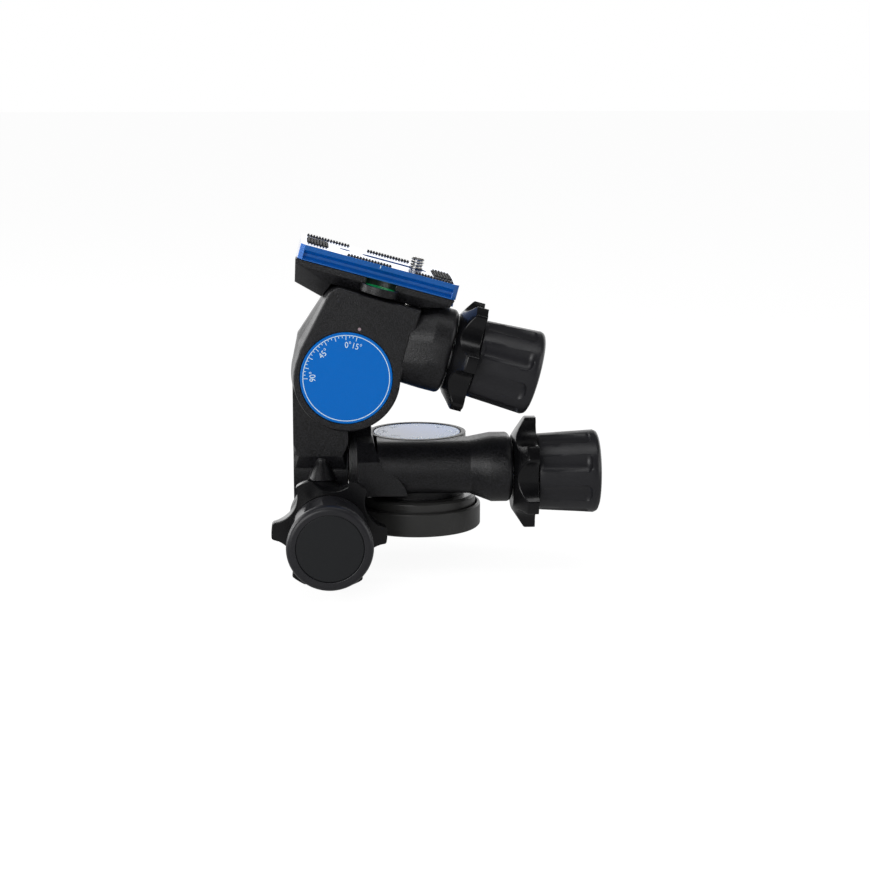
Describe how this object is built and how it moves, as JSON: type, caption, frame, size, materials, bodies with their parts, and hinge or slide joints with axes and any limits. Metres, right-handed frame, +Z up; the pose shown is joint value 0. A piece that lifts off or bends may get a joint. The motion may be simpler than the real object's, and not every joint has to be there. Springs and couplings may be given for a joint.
{
  "type": "geared tripod head",
  "caption": "Three-way geared tripod head: stacked pan, roll and tilt worm-gear units with winged release collars and fluted knobs, a spirit level and a clamped quick-release camera plate.",
  "frame": {"origin": "centre of the underside of the base flange, on the pan axis, at the mouth of the tripod thread", "axes": "+Z up along the pan axis, +X along the pan knob, -Y towards the operator, who faces the dials"},
  "size_m": [0.1506, 0.1128, 0.154],
  "materials": {
    "black_casting": "matte",
    "base_black": "satin",
    "turned_aluminium": "satin",
    "steel": "satin",
    "spring_steel": "satin",
    "bronze": "satin",
    "nylon": "matte",
    "vial_green": "gloss",
    "knob_black": "matte",
    "cap_black": "satin",
    "collar_black": "satin",
    "white_paint": "satin",
    "plate_blue": "satin",
    "dial_blue": "satin",
    "sleeve_aluminium": "satin",
    "pad_rubber": "matte"
  },
  "bodies": {
    "base": {"base_flange": "base_black", "base_thread_insert": "steel", "pan_axle": "steel", "pan_glide_washer": "nylon", "pan_worm_wheel": "bronze", "pan_axle_nut": "steel", "pan_dial": "dial_blue"},
    "pan_body": {"pan_housing": "black_casting", "turntable_ring": "turned_aluminium", "turntable_screws": "steel", "pan_cover": "black_casting", "pan_axle_bush": "bronze", "pan_release_spring": "spring_steel", "roll_axle": "steel", "roll_worm_wheel": "bronze", "roll_axle_nut": "steel", "roll_dial": "dial_blue"},
    "roll_body": {"roll_arm": "black_casting", "roll_cover": "black_casting", "roll_axle_bush": "bronze", "roll_release_spring": "spring_steel", "tilt_axle": "steel", "tilt_worm_wheel": "bronze", "tilt_axle_nut": "steel", "tilt_dial": "dial_blue"},
    "tilt_body": {"tilt_housing": "black_casting", "tilt_cover": "black_casting", "tilt_cover_screws": "steel", "tilt_index_dot": "white_paint", "tilt_axle_bush": "bronze", "tilt_release_spring": "spring_steel", "clamp_bed": "black_casting", "clamp_bed_screws": "steel", "level_vial": "vial_green"},
    "clamp_jaw": {"clamp_jaw": "black_casting"},
    "clamp_knob": {"clamp_knob": "knob_black", "clamp_screw": "steel"},
    "qr_plate": {"camera_plate": "plate_blue", "plate_rubber_pads": "pad_rubber", "plate_stop_screws": "steel"},
    "screw_slider": {"screw_slider": "steel"},
    "camera_screw": {"camera_screw": "steel"},
    "pan_release": {"pan_eccentric_sleeve": "sleeve_aluminium", "pan_release_collar": "collar_black", "pan_sleeve_bushes": "bronze"},
    "pan_worm": {"pan_worm_shaft": "steel", "pan_knob": "knob_black", "pan_knob_cap": "cap_black"},
    "roll_release": {"roll_eccentric_sleeve": "sleeve_aluminium", "roll_release_collar": "collar_black", "roll_sleeve_bushes": "bronze"},
    "roll_worm": {"roll_worm_shaft": "steel", "roll_knob": "knob_black", "roll_knob_cap": "cap_black"},
    "tilt_release": {"tilt_eccentric_sleeve": "sleeve_aluminium", "tilt_release_collar": "collar_black", "tilt_sleeve_bushes": "bronze"},
    "tilt_worm": {"tilt_worm_shaft": "steel", "tilt_knob": "knob_black", "tilt_knob_cap": "cap_black"}
  },
  "joints": [
    {"name": "pan", "type": "hinge", "parent": "base", "child": "pan_body", "pos_m": [0, 0, 0.029], "axis": [0, 0, 1], "continuous": true},
    {"name": "pan_release", "type": "hinge", "parent": "pan_body", "child": "pan_release", "pos_m": [0, -0.0215, 0.0322], "axis": [-1, 0, 0], "range_deg": [0, 35], "stiffness_Nm_per_rad": 0.4, "springref_deg": -17.19},
    {"name": "pan_worm", "type": "hinge", "parent": "pan_release", "child": "pan_worm", "pos_m": [0, -0.0215, 0.029], "axis": [1, 0, 0], "continuous": true},
    {"name": "roll", "type": "hinge", "parent": "pan_body", "child": "roll_body", "pos_m": [-0.0418, 0, 0.0298], "axis": [-1, 0, 0], "range_deg": [-15, 90]},
    {"name": "roll_release", "type": "hinge", "parent": "roll_body", "child": "roll_release", "pos_m": [-0.045, 0, 0.0083], "axis": [0, 1, 0], "range_deg": [0, 35], "stiffness_Nm_per_rad": 0.4, "springref_deg": -17.19},
    {"name": "roll_worm", "type": "hinge", "parent": "roll_release", "child": "roll_worm", "pos_m": [-0.0418, 0, 0.0083], "axis": [0, -1, 0], "range_deg": [-901, 5401]},
    {"name": "tilt", "type": "hinge", "parent": "roll_body", "child": "tilt_body", "pos_m": [-0.0337, -0.036, 0.0784], "axis": [0, -1, 0], "range_deg": [0, 105]},
    {"name": "tilt_release", "type": "hinge", "parent": "tilt_body", "child": "tilt_release", "pos_m": [-0.02799, -0.0392, 0.09913], "axis": [0.9641, 0, -0.2656], "range_deg": [0, 35], "stiffness_Nm_per_rad": 0.4, "springref_deg": -17.19},
    {"name": "tilt_worm", "type": "hinge", "parent": "tilt_release", "child": "tilt_worm", "pos_m": [-0.02799, -0.036, 0.09913], "axis": [0.9641, 0, -0.2656], "range_deg": [-6301, 1]},
    {"name": "clamp_jaw", "type": "slide", "parent": "tilt_body", "child": "clamp_jaw", "axis": [0, 1, 0], "range_m": [0, 0.004]},
    {"name": "clamp_knob", "type": "hinge", "parent": "clamp_jaw", "child": "clamp_knob", "pos_m": [-0.02248, 0.006, 0.11161], "axis": [0, 1, 0], "range_deg": [0, 1801]},
    {"name": "plate_slide", "type": "slide", "parent": "tilt_body", "child": "qr_plate", "axis": [0.9641, 0, -0.2656], "range_m": [-0.03, 0.0035]},
    {"name": "screw_slide", "type": "slide", "parent": "qr_plate", "child": "screw_slider", "axis": [0.9641, 0, -0.2656], "range_m": [-0.021, 0.0015]},
    {"name": "camera_screw_turn", "type": "hinge", "parent": "screw_slider", "child": "camera_screw", "pos_m": [-0.00131, -0.023, 0.12445], "axis": [0.2656, 0, 0.9641], "continuous": true}
  ],
  "couplings": [
    {"joint": "pan_worm", "follows": "pan", "ratio": 60},
    {"joint": "roll_worm", "follows": "roll", "ratio": 60},
    {"joint": "tilt_worm", "follows": "tilt", "ratio": -60},
    {"joint": "clamp_knob", "follows": "clamp_jaw", "rad_per_m": 7854}
  ]
}
